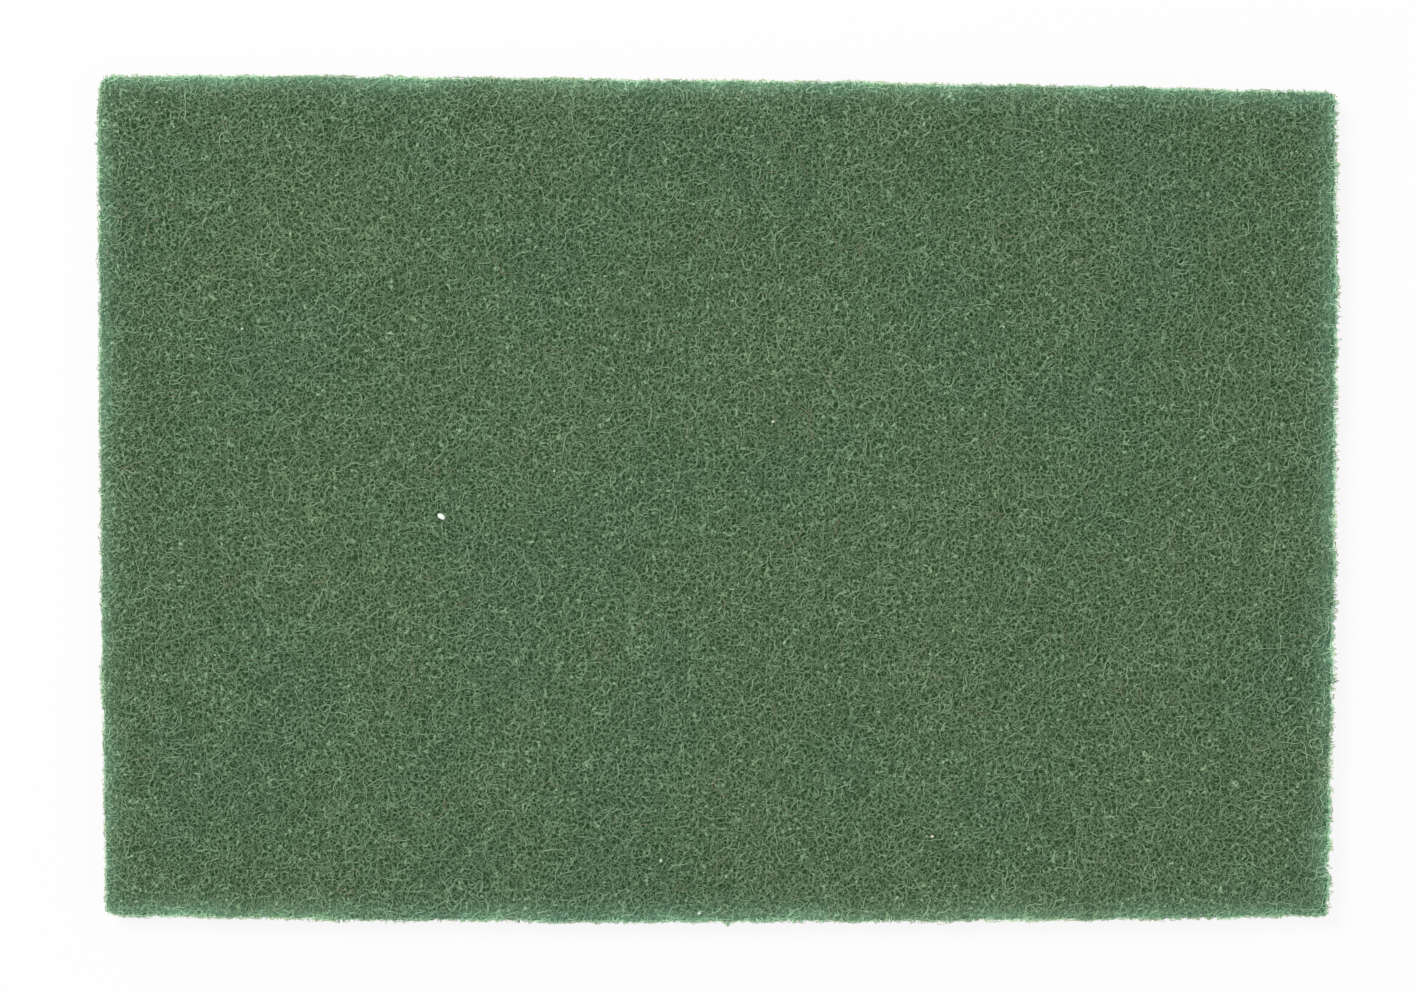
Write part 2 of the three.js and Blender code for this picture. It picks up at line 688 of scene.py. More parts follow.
def mark_cut(piece: bpy.types.Object, points: np.ndarray, shape: PadShape) -> None:
    """Store how a mesh lies to the cut edges, for its material to read.

    Args:
        piece: The object.
        points: The place of each of its points, or of the centre line that it belongs to.
        shape: The pad's form.
    """
    mark(piece, "cut_light", shape.light_through(points))
    mark(piece, "cut_distance", shape.depth_inside(points[:, :2]))


def lay_flat(piece: bpy.types.Object, places: np.ndarray) -> None:
    """Give a mesh a flat map, from a place in the unit square for each of its points.

    Args:
        piece: The object.
        places: Two shares, from 0 to 1, for each point.
    """
    corners = np.empty(len(piece.data.loops), np.int32)
    piece.data.loops.foreach_get("vertex_index", corners)
    chart_corners(piece, BAKE_MAP, places[corners])


def chart_corners(piece: bpy.types.Object, name: str, places: np.ndarray) -> None:
    """Give a mesh a flat map, from a place for each corner of its faces.

    Args:
        piece: The object.
        name: The map's name.
        places: Two numbers for each corner.
    """
    chart = piece.data.uv_layers.new(name=name)
    chart.data.foreach_set("uv", places.astype(np.float32).reshape(-1))


def draw_fibres(name: str, strands: Strands, shape: PadShape) -> bpy.types.Object:
    """Turn centre lines into closed tubes with three sides, one of them a ridge that faces outwards.

    Args:
        name: The piece's name.
        strands: The centre lines.
        shape: The pad's form, for the distance from the cut that each point is marked with.

    Returns:
        One object that holds them all.
    """
    points, run = strands.points, strands.run
    linked = run[:-1] == run[1:]
    tangent = np.zeros_like(points)
    stride = points[1:] - points[:-1]
    tangent[:-1][linked] += stride[linked]
    tangent[1:][linked] += stride[linked]
    tangent /= np.maximum(np.linalg.norm(tangent, axis=1, keepdims=True), 1e-9)
    across = np.cross(tangent, strands.outwards)
    across /= np.maximum(np.linalg.norm(across, axis=1, keepdims=True), 1e-9)
    ridge = np.cross(across, tangent)
    corners, quads = [], []
    here = np.flatnonzero(linked) * TUBE_SIDES
    beyond = here + TUBE_SIDES
    for k in range(TUBE_SIDES):
        angle = math.pi / 2 + math.tau * k / TUBE_SIDES
        spoke = across * math.cos(angle) + ridge * math.sin(angle)
        corners.append(points + spoke * strands.radius[:, None])
        turn = (k + 1) % TUBE_SIDES
        quads.append(np.stack([here + k, beyond + k, beyond + turn, here + turn], 1))
    skin = np.stack(corners, 1).reshape(-1, 3)
    first = np.flatnonzero(np.concatenate([[True], ~linked])) * TUBE_SIDES
    last = np.flatnonzero(np.concatenate([~linked, [True]])) * TUBE_SIDES
    caps = [np.stack([first, first + 1, first + 2], 1), np.stack([last + 2, last + 1, last], 1)]
    piece = closed_mesh(name, skin, np.concatenate(quads), np.concatenate(caps))
    mark(piece, "tone", np.repeat(strands.tone, TUBE_SIDES))
    mark(piece, "straw", np.repeat(strands.straw, TUBE_SIDES))
    mark_cut(piece, np.repeat(points, TUBE_SIDES, 0), shape)
    return piece


@dataclass(frozen=True)
class FibreLap:
    """One thickness of the web as the air laid it: strands of one crimp between two depths."""

    crimp: Crimp
    strand_count: int
    shallowest: float
    deepest: float
    radius: float
    palest: float
    darkest: float
    seed: int


@dataclass
class WebFace:
    """The fibres of one face of the pad, in laps from the deepest to the outermost."""

    shape: PadShape
    way: int
    name: str
    laps: list[FibreLap]
    dive_run: float = 1.2
    dive_depth: float = 0.9
    depth_run: float = 2.6
    depth_swing: float = 0.4
    # How much darker the tone grows per millimetre of depth: painted shade.
    depth_shade: float = 0.5
    slack: float = 0.6
    lump_run: float = 0.8
    lump_share: float = 0.16
    tone_drift: float = 0.12
    tone_run: float = 1.0
    straw_share: float = 0.03
    floor_gap: float = 0.02

    def strands(self, lap: FibreLap) -> Strands:
        """Lay one lap.

        Args:
            lap: What the lap is made of.

        Returns:
            Its strands, cut to the pad's outline.
        """
        rng = np.random.default_rng(lap.seed)
        seeds = self._seeds(rng, lap.strand_count)
        flat, kept = lap.crimp.walk(rng, len(seeds))
        count, steps = flat.shape[:2]
        flat = flat + seeds[:, None]
        slack = np.repeat(self.slack * np.clip(rng.normal(0, 1, count), -1.5, 1.5), steps)
        inside = self.shape.depth_inside(flat.reshape(-1, 2), slack).reshape(count, steps)
        stays, moved, run = cut_to_runs(flat, inside, kept)
        step = lap.crimp.step
        depth = rng.uniform(lap.shallowest, lap.deepest, (count, 1))
        swing = self.depth_swing * (lap.deepest - lap.shallowest)
        depth = depth + swing * wander(rng, count, steps, step, self.depth_run)
        travelled = np.arange(steps)[None] * step
        ending = np.minimum(travelled, kept[:, None] * step - travelled)
        dive = np.clip(1 - ending / self.dive_run, 0, 1) ** 2
        depth = np.maximum(depth, 0.0) + dive * self.dive_depth
        lumps = 1 + self.lump_share * wander(rng, count, steps, step, self.lump_run)
        radius = lap.radius * np.clip(lumps, *LUMP_LIMITS)
        # Deeper points, diving strand ends among them, get a darker tone: painted shade for the depth of
        # the web.
        tone = rng.uniform(lap.darkest, lap.palest, (count, 1)) - self.depth_shade * depth
        tone = tone + self.tone_drift * wander(rng, count, steps, step, self.tone_run)
        straw = (rng.uniform(size=(count, 1)) < self.straw_share) * rng.uniform(0.4, 1.0, (count, 1))
        places = moved[stays]
        height = self.shape.face_height(self.shape.held_inside(places, 0.02), self.way)
        height = height - self.way * (depth[stays] + radius[stays])
        if self.way < 0:
            height = np.maximum(height, radius[stays] + self.floor_gap)
        facing = np.tile([0.0, 0.0, float(self.way)], (len(places), 1))
        return Strands(
            points=np.column_stack([places, height]),
            outwards=facing,
            radius=radius[stays],
            tone=tone[stays],
            straw=np.broadcast_to(straw, stays.shape)[stays],
            run=run[stays],
        )

    def _seeds(self, rng: np.random.Generator, count: int) -> np.ndarray:
        """Scatter strands over the pad, more thickly where the web is thick.

        Args:
            rng: Where chance comes from.
            count: How many strands.

        Returns:
            X and Y of the middle of each strand.
        """
        overlap = 4.0
        tries_per_strand = 1.43
        low, high = self.shape.low[:2] - overlap, self.shape.high[:2] + overlap
        spacing = math.sqrt(np.prod(high - low) / count / tries_per_strand)
        xs, ys = (np.arange(low[i], high[i], spacing) for i in (0, 1))
        tried = np.stack(np.meshgrid(xs, ys, indexing="ij"), -1).reshape(-1, 2)
        tried = tried + rng.uniform(-0.6, 0.6, tried.shape) * spacing
        wish = 0.7 + 0.22 * Mottle(11, 4, 14).at(tried) + 0.04 * Mottle(12, 25, 70).at(tried)
        return tried[rng.uniform(size=len(tried)) < wish]

    def build(self) -> list[bpy.types.Object]:
        """Make the face's laps.

        Returns:
            One object for each lap.
        """
        pieces = []
        for number, lap in enumerate(self.laps, 1):
            piece = draw_fibres(f"{self.name}_lap_{number}", self.strands(lap), self.shape)
            spread = np.array([v.co[:2] for v in piece.data.vertices])
            low, high = spread.min(0), spread.max(0)
            lay_flat(piece, 0.01 + 0.98 * (spread - low) / (high - low))
            pieces.append(piece)
        return pieces


@dataclass
class CutEdges:
    """The four edges that the blade made: curled strands in the cut face, cut ends and torn loops."""

    shape: PadShape
    strands_per_mm: float = 1.9
    ends_per_mm: float = 4.0
    loops_per_mm: float = 2.2
    radius: float = 0.075
    seed: int = 71
    lowest: float = 0.7
    highest: float = 6.3
    corner_gap: float = 0.3
    root: float = 0.6
    loop_root: float = 0.5
    straw_share: float = 0.02
    crimp: Crimp = Crimp(1.2, 1.5, 2.0, 0.5, 0.5, 8.0, 4.0)

    def place(self, side: Side, along: np.ndarray, level: np.ndarray, depth: np.ndarray) -> np.ndarray:
        """Turn places on a cut edge into places in space.

        Args:
            side: The edge.
            along: Places along the edge.
            level: Heights.
            depth: How far behind the cut each place lies, negative in front of it.

        Returns:
            X, Y and Z of each place.
        """
        out = self.shape.edge_place(side, along, level) - side.sign * depth
        radius = self.shape.corner_radius
        for end in self.shape.side_ends(side):
            near = np.clip(radius - np.abs(along - end), 0, radius)
            out = out - side.sign * (radius - np.sqrt(radius**2 - near**2))
        flat = [out, along] if side.facing == 0 else [along, out]
        return np.stack([*flat, level], -1)

    def _strands(self, rng: np.random.Generator, side: Side, places: np.ndarray, shade: float) -> Strands:
        """Wrap points up as strands.

        Args:
            rng: Where chance comes from.
            side: The edge that they are on.
            places: Points by strand and step.
            shade: How pale they are.

        Returns:
            The strands.
        """
        count, steps = places.shape[:2]
        normal = np.zeros(3)
        normal[side.facing] = side.sign
        lumps = 1 + 0.15 * wander(rng, count, steps, 0.7, 0.8)
        tone = np.repeat(rng.uniform(shade - 0.2, shade + 0.2, count), steps)
        straw = (rng.uniform(size=count) < self.straw_share) * rng.uniform(0.4, 1.0, count)
        return Strands(
            points=places.reshape(-1, 3),
            outwards=np.tile(normal, (count * steps, 1)),
            radius=(self.radius * np.clip(lumps, *LUMP_LIMITS)).reshape(-1),
            tone=tone,
            straw=np.repeat(straw, steps),
            run=np.repeat(np.arange(count), steps),
        )

    def lying(self, rng: np.random.Generator, side: Side) -> Strands:
        """Lay curled strands in the cut face.

        Args:
            rng: Where chance comes from.
            side: The edge.

        Returns:
            The strands.
        """
        low, high = self.shape.side_ends(side)
        flat, _ = self.crimp.walk(rng, int((high - low) * self.strands_per_mm))
        count, steps = flat.shape[:2]
        middle, half = (self.highest + self.lowest) / 2, (self.highest - self.lowest) / 2
        along = rng.uniform(low, high, (count, 1)) + flat[..., 0]
        along = np.clip(along, low + self.corner_gap, high - self.corner_gap)
        level = rng.uniform(-half, half, (count, 1)) + flat[..., 1]
        level = middle + half * np.tanh(level / half)
        loose = self.shape.looseness[side]
        depth = 0.6 * loose + rng.uniform(0.0, 0.45, (count, 1))
        depth = depth + 0.2 * wander(rng, count, steps, 0.5, 1.2)
        places = self.place(side, along, level, np.maximum(depth, 0.0) + self.radius)
        return self._strands(rng, side, places, 0.65)

    def ends(self, rng: np.random.Generator, side: Side) -> Strands:
        """Stand cut ends out of the cut.

        Args:
            rng: Where chance comes from.
            side: The edge.

        Returns:
            The strands.
        """
        low, high = self.shape.side_ends(side)
        count, steps = int((high - low) * self.ends_per_mm), 3
        share = np.linspace(0, 1, steps)[None]
        loose = self.shape.looseness[side]
        reach = loose * np.clip(rng.normal(0, 0.7, (count, 1)), -1.5, 1.0)
        depth = self.root + loose - (self.root + loose + reach) * share
        bend = rng.normal(0, 0.12, (count, 1)) * np.sin(math.pi * share)
        along = rng.uniform(low + 0.5, high - 0.5, (count, 1)) + bend
        along = along + rng.normal(0, 0.35, (count, 1)) * share
        level = rng.uniform(self.lowest, self.highest, (count, 1)) - bend
        level = level + rng.normal(0, 0.3, (count, 1)) * share
        along, level = self._held(along, level, low, high)
        return self._strands(rng, side, self.place(side, along, level, depth), 0.7)

    def loops(self, rng: np.random.Generator, side: Side) -> Strands:
        """Pull small loops out of the cut.

        Args:
            rng: Where chance comes from.
            side: The edge.

        Returns:
            The strands.
        """
        low, high = self.shape.side_ends(side)
        count, steps = int((high - low) * self.loops_per_mm), 5
        share = np.linspace(0, 1, steps)[None]
        loose = self.shape.looseness[side]
        reach = loose * np.clip(rng.normal(0.2, 0.8, (count, 1)), -1.5, 1.2)
        depth = self.loop_root + loose - (self.loop_root + loose + reach) * np.sin(math.pi * share)
        turn = rng.uniform(0, math.tau, (count, 1))
        width = rng.uniform(0.5, 1.2, (count, 1))
        swing = width * (share - 0.5) + 0.08 * wander(rng, count, steps, 0.4, 0.5)
        along = rng.uniform(low + 0.5, high - 0.5, (count, 1)) + swing * np.cos(turn)
        level = rng.uniform(self.lowest, self.highest, (count, 1)) + swing * np.sin(turn)
        along, level = self._held(along, level, low, high)
        return self._strands(rng, side, self.place(side, along, level, depth), 0.75)

    def _held(
        self, along: np.ndarray, level: np.ndarray, low: float, high: float
    ) -> tuple[np.ndarray, np.ndarray]:
        """Keep places on the cut face.

        Args:
            along: Places along the edge.
            level: Heights.
            low: Where the edge begins.
            high: Where it ends.

        Returns:
            The places and heights, each inside the cut face.
        """
        held = np.clip(along, low + self.corner_gap, high - self.corner_gap)
        return held, np.clip(level, self.lowest - 0.3, self.highest + 0.2)

    def build(self) -> list[bpy.types.Object]:
        """Make the fibres of the cut edges.

        Returns:
            The lying fibres and the cut ends, one object each.
        """
        rng = np.random.default_rng(self.seed)
        lying = {side: self.lying(rng, side) for side in Side}
        ends = {side: Strands.joined([self.ends(rng, side), self.loops(rng, side)]) for side in Side}
        pieces = []
        for name, parts in (("cut_edge_fibres", lying), ("cut_edge_ends", ends)):
            piece = draw_fibres(name, Strands.joined(list(parts.values())), self.shape)
            counts = [len(parts[side].points) * TUBE_SIDES for side in Side]
            lay_flat(piece, self._unrolled(piece, counts))
            pieces.append(piece)
        return pieces

    def _unrolled(self, piece: bpy.types.Object, counts: list[int]) -> np.ndarray:
        """Unroll the four edges into four rows of a flat map.

        Args:
            piece: The mesh.
            counts: How many of its points belong to each edge.

        Returns:
            A place in the unit square for each point.
        """
        spots = np.array([v.co for v in piece.data.vertices]) / MILLIMETRE
        chart = np.empty((len(spots), 2))
        start = 0
        for row, (side, count) in enumerate(zip(Side, counts)):
            own = spots[start : start + count]
            for column, axis in ((0, 1 - side.facing), (1, 2)):
                least, most = own[:, axis].min(), own[:, axis].max()
                chart[start : start + count, column] = (own[:, axis] - least) / (most - least)
            chart[start : start + count, 1] = (row + 0.04 + 0.92 * chart[start : start + count, 1]) / 4
            start += count
        chart[:, 0] = 0.01 + 0.98 * chart[:, 0]
        return chart


@dataclass
class WebCore:
    """The dense middle of the web, which shows through the pores between the fibres, painted dark there as
    shade.
    """

    shape: PadShape
    pitch: float = 1.5
    face_inset: float = 0.7
    edge_inset: float = 0.35
    edge_slack: float = 1.6
    edge_rows: int = 6
    roughness: float = 0.22
    seed: int = 5

    def build(self) -> bpy.types.Object:
        """Make the middle as one closed body.

        Returns:
            The object.
        """
        size = self.shape.high[:2] - self.shape.low[:2]
        columns, rows = (int(s / self.pitch) for s in size)
        u, v = np.meshgrid(np.linspace(0, 1, columns), np.linspace(0, 1, rows), indexing="ij")
        flat = self.shape.placed(u.reshape(-1), v.reshape(-1), self.edge_inset, self.edge_slack)
        top = self.shape.face_height(flat, 1) - self.face_inset
        foot = self.shape.face_height(flat, -1) + 0.55 * self.face_inset
        rng = np.random.default_rng(self.seed)
        top = top + self.roughness * rng.uniform(-1, 1, len(top))
        foot = foot + 0.5 * self.roughness * rng.uniform(-1, 1, len(foot))
        grid = np.arange(columns * rows).reshape(columns, rows)
        ring = np.concatenate([grid[:-1, 0], grid[-1, :-1], grid[:0:-1, -1], grid[0, :0:-1]])
        upper = np.column_stack([flat, top])
        lower = np.column_stack([flat, foot])
        layers = []
        for k in range(1, self.edge_rows):
            share = k / self.edge_rows
            layer = upper[ring] * (1 - share) + lower[ring] * share
            layer[:, :2] += self.roughness * rng.uniform(-1, 1, (len(ring), 2))
            layers.append(layer)
        points = np.concatenate([upper, lower, *layers])
        a, b, c, d = grid[:-1, :-1], grid[1:, :-1], grid[1:, 1:], grid[:-1, 1:]
        above = np.stack([a, b, c, d], -1).reshape(-1, 4)
        below = above[:, ::-1] + len(upper)
        inner = 2 * len(upper) + np.arange(len(ring) * len(layers)).reshape(len(layers), -1)
        rings = [ring, *inner, ring + len(upper)]
        walls = []
        for high, low in zip(rings[:-1], rings[1:]):
            walls.append(np.stack([high, low, np.roll(low, -1), np.roll(high, -1)], 1))
        quads = np.concatenate([above, below, *walls])
        piece = closed_mesh("web_core", points, quads, np.empty((0, 3), int))
        mark_cut(piece, points, self.shape)
        self._chart(piece, points, above, below, len(ring))
        return piece

    def _chart(
        self, piece: bpy.types.Object, points: np.ndarray, above: np.ndarray, below: np.ndarray, around: int
    ) -> None:
        """Lay the body out flat twice: in millimetres for its pattern, and in a unit square.

        Args:
            piece: The body.
            points: Its points.
            above: The faces of its upper side.
            below: The faces of its lower side.
            around: How many points each ring of its edge has.
        """
        spread = points[:, :2]
        corner_steps = np.array([(0, 0), (0, 1), (1, 1), (1, 0)])
        steps = np.stack(np.meshgrid(np.arange(self.edge_rows), np.arange(around), indexing="ij"), -1)
        strip = (steps.reshape(-1, 1, 2)[..., ::-1] + corner_steps).reshape(-1, 2) * self.pitch
        apart = 400.0
        sides = [spread[above.reshape(-1)], spread[below.reshape(-1)], strip]
        chart_corners(piece, WEB_MAP, np.concatenate([side + apart * k for k, side in enumerate(sides)]))
        shelves = ((0.54, 0.99), (0.07, 0.52), (0.01, 0.055))
        squeezed = []
        for side, (foot, top) in zip(sides, shelves):
            share = (side - side.min(0)) / (side.max(0) - side.min(0))
            squeezed.append(np.array([0.01, foot]) + share * np.array([0.98, top - foot]))
        chart_corners(piece, BAKE_MAP, np.concatenate(squeezed))


@dataclass(frozen=True)
class Lump:
    """A drop of resin or a fleck caught in the web, in millimetres."""

    place: tuple[float, float]
    size: tuple[float, float, float]
    turn: float
    tone: float
    straw: float = 0.0


@dataclass
class ResinBeads:
    """Drops of resin that dried between the fibres of the upper face, pale partly as painted highlight, and
    a pale fleck.
    """

    shape: PadShape
    drop_count: int = 110
    seed: int = 91
    # The fleck first, then drops that sit where the web glints; their pale tones are painted highlights.
    fleck_and_glint_drops: tuple[Lump, ...] = (
        Lump((-51.1, -3.4), (0.8, 0.5, 0.25), -0.6, 1.0),
        Lump((40.0, -62.6), (0.34, 0.24, 0.2), 0.4, 0.75, 0.6),
        Lump((-10.4, -67.1), (0.3, 0.2, 0.18), 1.1, 0.8),
        Lump((-88.1, 31.6), (0.26, 0.2, 0.18), 0.2, 0.7),
        Lump((10.4, 14.4), (0.26, 0.22, 0.18), 0.0, 0.85),
        Lump((53.2, 32.0), (0.24, 0.18, 0.16), 2.1, 0.6),
        Lump((-30.2, 5.2), (0.22, 0.2, 0.16), 0.9, 0.65),
        Lump((-3.3, -76.9), (0.32, 0.24, 0.2), 0.3, 0.9),
    )

    def build(self) -> bpy.types.Object:
        """Make all the drops as one object.

        Returns:
            The object.
        """
        rng = np.random.default_rng(self.seed)
        ball = bpy.data.meshes.new("ball")
        maker = bmesh.new()
        bmesh.ops.create_icosphere(maker, subdivisions=2, radius=1.0)
        maker.to_mesh(ball)
        maker.free()
        round_points = np.array([v.co for v in ball.vertices])
        corners = np.array([tuple(p.vertices) for p in ball.polygons])
        bpy.data.meshes.remove(ball)
        points, triangles, tones, straws = [], [], [], []
        for lump in [*self.fleck_and_glint_drops, *self._drops(rng)]:
            dents = 1 + 0.16 * np.sin(round_points @ rng.normal(0, 2.4, (3, 3))).sum(1, keepdims=True)
            body = round_points * np.clip(dents, 0.7, 1.3) * np.array(lump.size)
            cosine, sine = math.cos(lump.turn), math.sin(lump.turn)
            body[:, :2] = body[:, :2] @ np.array([(cosine, sine), (-sine, cosine)])
            height = self.shape.face_height(np.array([lump.place]), 1)[0] - 0.4 * lump.size[2]
            triangles.append(corners + sum(len(p) for p in points))
            points.append(body + np.array([*lump.place, height]))
            tones.append(np.full(len(body), lump.tone))
            straws.append(np.full(len(body), lump.straw))
        spots = np.concatenate(points)
        piece = closed_mesh("resin_beads", spots, np.empty((0, 4), int), np.concatenate(triangles))
        mark(piece, "tone", np.concatenate(tones))
        mark(piece, "straw", np.concatenate(straws))
        self._chart(piece, len(points), len(round_points))
        return piece

    def _drops(self, rng: np.random.Generator) -> list[Lump]:
        """Scatter small drops.

        Args:
            rng: Where chance comes from.

        Returns:
            The drops.
        """
        drops = []
        margin = 3.0
        for _ in range(self.drop_count):
            place = rng.uniform(self.shape.low[:2] + margin, self.shape.high[:2] - margin)
            size = rng.uniform(0.08, 0.15) * rng.uniform(0.8, 1.3, 3)
            drops.append(Lump(tuple(place), tuple(size), rng.uniform(0, math.pi), rng.uniform(0.1, 0.6)))
        return drops

    def _chart(self, piece: bpy.types.Object, count: int, each: int) -> None:
        """Give every drop its own small square of the flat map, with its two halves side by side.

        Args:
            piece: The drops.
            count: How many there are.
            each: How many points one has.
        """
        across = math.ceil(math.sqrt(count))
        spots = np.array([v.co for v in piece.data.vertices]).reshape(count, each, 3)
        low, high = spots.min(1, keepdims=True), spots.max(1, keepdims=True)
        share = (spots - low) / (high - low)
        corners = np.empty(len(piece.data.loops), np.int32)
        piece.data.loops.foreach_get("vertex_index", corners)
        centres = share.reshape(-1, 3)[corners].reshape(-1, 3, 3).mean(1)
        under = np.repeat(centres[:, 2] < 0.5, 3)
        own = corners // each
        local = share.reshape(-1, 3)[corners, :2] * np.array([0.44, 0.9]) + 0.04
        local[:, 0] += 0.5 * under
        chart_corners(piece, BAKE_MAP, (np.column_stack([own % across, own // across]) + local) / across)


def new_skin(
    name: str, roughness: float, refraction: float, sheen_share: float = 0.5
) -> tuple[bpy.types.Material, bpy.types.Node]:
    """Start a material.

    Args:
        name: What the material is.
        roughness: How matt it is.
        refraction: Its index of refraction.
        sheen_share: How strong its shine is, with 0.5 for a closed surface.

    Returns:
        The material and its surface shader.
    """
    skin = bpy.data.materials.new(name)
    skin.use_nodes = True
    shader = skin.node_tree.nodes["Principled BSDF"]
    shader.inputs["Roughness"].default_value = roughness
    shader.inputs["IOR"].default_value = refraction
    shader.inputs["Specular IOR Level"].default_value = sheen_share
    return skin, shader


def read_mark(tree: Tree, name: str) -> Socket:
    """Read a number that the mesh was marked with.

    Args:
        tree: The node tree.
        name: The attribute's name.

    Returns:
        The number.
    """
    return add_node(tree, "ShaderNodeAttribute", {"attribute_name": name}).outputs["Fac"]


def ranged(
    tree: Tree,
    value: Socket,
    reach: tuple[float, float],
    results: tuple[float, float],
    interpolation: str = "LINEAR",
) -> Socket:
    """Turn one range of numbers into another, held at both ends.

    Args:
        tree: The node tree.
        value: The number to turn.
        reach: Where the first range begins and ends.
        results: What comes out there.
        interpolation: How it runs in between.

    Returns:
        The new number.
    """
    settings = {"interpolation_type": interpolation, 1: reach[0], 2: reach[1], 3: results[0], 4: results[1]}
    return add_node(tree, "ShaderNodeMapRange", settings, i0=value).outputs[0]


def cloudy(tree: Tree, pitch_mm: float, detail: float) -> Socket:
    """Add a cloudy pattern that is fixed in space.

    Args:
        tree: The node tree.
        pitch_mm: How far apart its clouds are.
        detail: How many finer layers it has.

    Returns:
        The pattern's strength, about 0.5 on average.
    """
    place = add_node(tree, "ShaderNodeTexCoord", {}).outputs["Object"]
    settings = {"Scale": 1 / (pitch_mm * MILLIMETRE), "Detail": detail}
    return add_node(tree, "ShaderNodeTexNoise", settings, Vector=place).outputs["Fac"]


def blend(tree: Tree, share: Socket, first: Socket | tuple, second: Socket | tuple) -> Socket:
    """Mix two colours.

    Args:
        tree: The node tree.
        share: How much of the second colour there is, from 0 to 1.
        first: The first colour, made by another node or fixed.
        second: The second colour, likewise.

    Returns:
        The mixed colour.
    """
    settings: dict = {"data_type": "RGBA"}
    links = {"i0": share}
    for number, colour in ((6, first), (7, second)):
        if isinstance(colour, tuple):
            settings[number] = colour
        else:
            links[f"i{number}"] = colour
    return add_node(tree, "ShaderNodeMix", settings, **links).outputs[2]


def combine(tree: Tree, operation: str, settings: dict, **links: Socket) -> Socket:
    """Work on colours or places, channel by channel.

    Args:
        tree: The node tree.
        operation: The sum to do, such as ADD or SCALE.
        settings: Fixed values by input number.
        **links: What feeds the other inputs.

    Returns:
        The result.
    """
    return add_node(tree, "ShaderNodeVectorMath", {"operation": operation, **settings}, **links).outputs[0]


def emboss(
    tree: Tree, shader: bpy.types.Node, height: Socket, strength: float, depth_mm: float
) -> None:
    """Give a surface a fine relief.

    Args:
        tree: The node tree.
        shader: The surface shader.
        height: The relief's height, from 0 to 1.
        strength: How much of the relief shows.
        depth_mm: How deep it is.
    """
    settings = {"Strength": strength, "Distance": depth_mm * MILLIMETRE}
    bump = add_node(tree, "ShaderNodeBump", settings, Height=height).outputs["Normal"]
    tree.links.new(bump, shader.inputs["Normal"])


@dataclass(frozen=True)
class ResinBondedNylon:
    """Crimped nylon staple coated with green resin.

    The resin is sprayed on and cured, so the fibres are matt with a faint shine on their ridges, a
    little lumpy, and each has taken up a little more or less of the green. Deeper fibres are painted
    darker, as painted shade, and the web is painted brighter along the cuts, as painted light coming
    through.
    """

    darkest: str = "456A3D"
    middle: str = "7D9F76"
    palest: str = "B9D7B1"
    straw: str = "9A9878"
    roughness: float = 0.55
    refraction: float = 1.53
    sheen_share: float = 0.3
    mottle_mm: float = 7.0
    mottle: tuple[float, float] = (0.92, 1.09)
    lump_mm: float = 0.25
    lump_depth_mm: float = 0.06

    def material(self) -> bpy.types.Material:
        """Make the material.

        Returns:
            The material.
        """
        name = "resin-bonded crimped nylon"
        skin, shader = new_skin(name, self.roughness, self.refraction, self.sheen_share)
        tree = skin.node_tree
        stops = [(0.0, self.darkest), (0.5, self.middle), (1.0, self.palest)]
        colour = shade_ramp(tree, read_mark(tree, "tone"), stops)
        colour = blend(tree, read_mark(tree, "straw"), colour, linear(self.straw))
        colour = DyeDrift().over(tree, LightThrough().over(tree, colour))
        strength = ranged(tree, cloudy(tree, self.mottle_mm, 2.0), (0.3, 0.7), self.mottle)
        colour = combine(tree, "SCALE", {}, i0=colour, i3=strength)
        tree.links.new(colour, shader.inputs["Base Color"])
        emboss(tree, shader, cloudy(tree, self.lump_mm, 1.0), 0.5, self.lump_depth_mm)
        return skin


@dataclass(frozen=True)
class CuredResin:
    """Drops of the binder that dried on their own.

    They hold no fibre, so they are smoother than the web and catch small highlights. They are also
    painted pale, up to near white, partly as painted highlights.
    """

    # Pale to near white: partly painted highlight.
    dull: str = "93B089"
    bright: str = "F2FBEF"
    straw: str = "E6E0B8"
    roughness: float = 0.3
    refraction: float = 1.5

    def material(self) -> bpy.types.Material:
        """Make the material.

        Returns:
            The material.
        """
        skin, shader = new_skin("cured abrasive resin", self.roughness, self.refraction)
        tree = skin.node_tree
        colour = shade_ramp(tree, read_mark(tree, "tone"), [(0.0, self.dull), (1.0, self.bright)])
        colour = blend(tree, read_mark(tree, "straw"), colour, linear(self.straw))
        tree.links.new(colour, shader.inputs["Base Color"])
        return skin


@dataclass(frozen=True)
class LightThrough:
    """The glow of the thin web along a cut, where light comes through the resin and takes up its green."""

    band: str = "80AC98"
    line: str = "9A7C58"
    line_mm: float = 0.45
    gain: float = 0.3

    def over(self, tree: Tree, colour: Socket) -> Socket:
        """Brighten a web colour towards the cut edges.

        Args:
            tree: The node tree.
            colour: The colour away from the edges.

        Returns:
            The colour all over the pad.
        """
        glow = read_mark(tree, "cut_light")
        rim = ranged(tree, read_mark(tree, "cut_distance"), (0.0, self.line_mm), (1.0, 0.0))
        tint = blend(tree, rim, linear(self.band), linear(self.line))
        fill = combine(tree, "SCALE", {}, i0=tint, i3=glow)
        settings = {"operation": "MULTIPLY_ADD", 1: self.gain, 2: 1.0}
        gain = add_node(tree, "ShaderNodeMath", settings, i0=glow).outputs[0]
        lit = combine(tree, "SCALE", {}, i0=colour, i3=gain)
        return combine(tree, "ADD", {}, i0=lit, i1=fill)


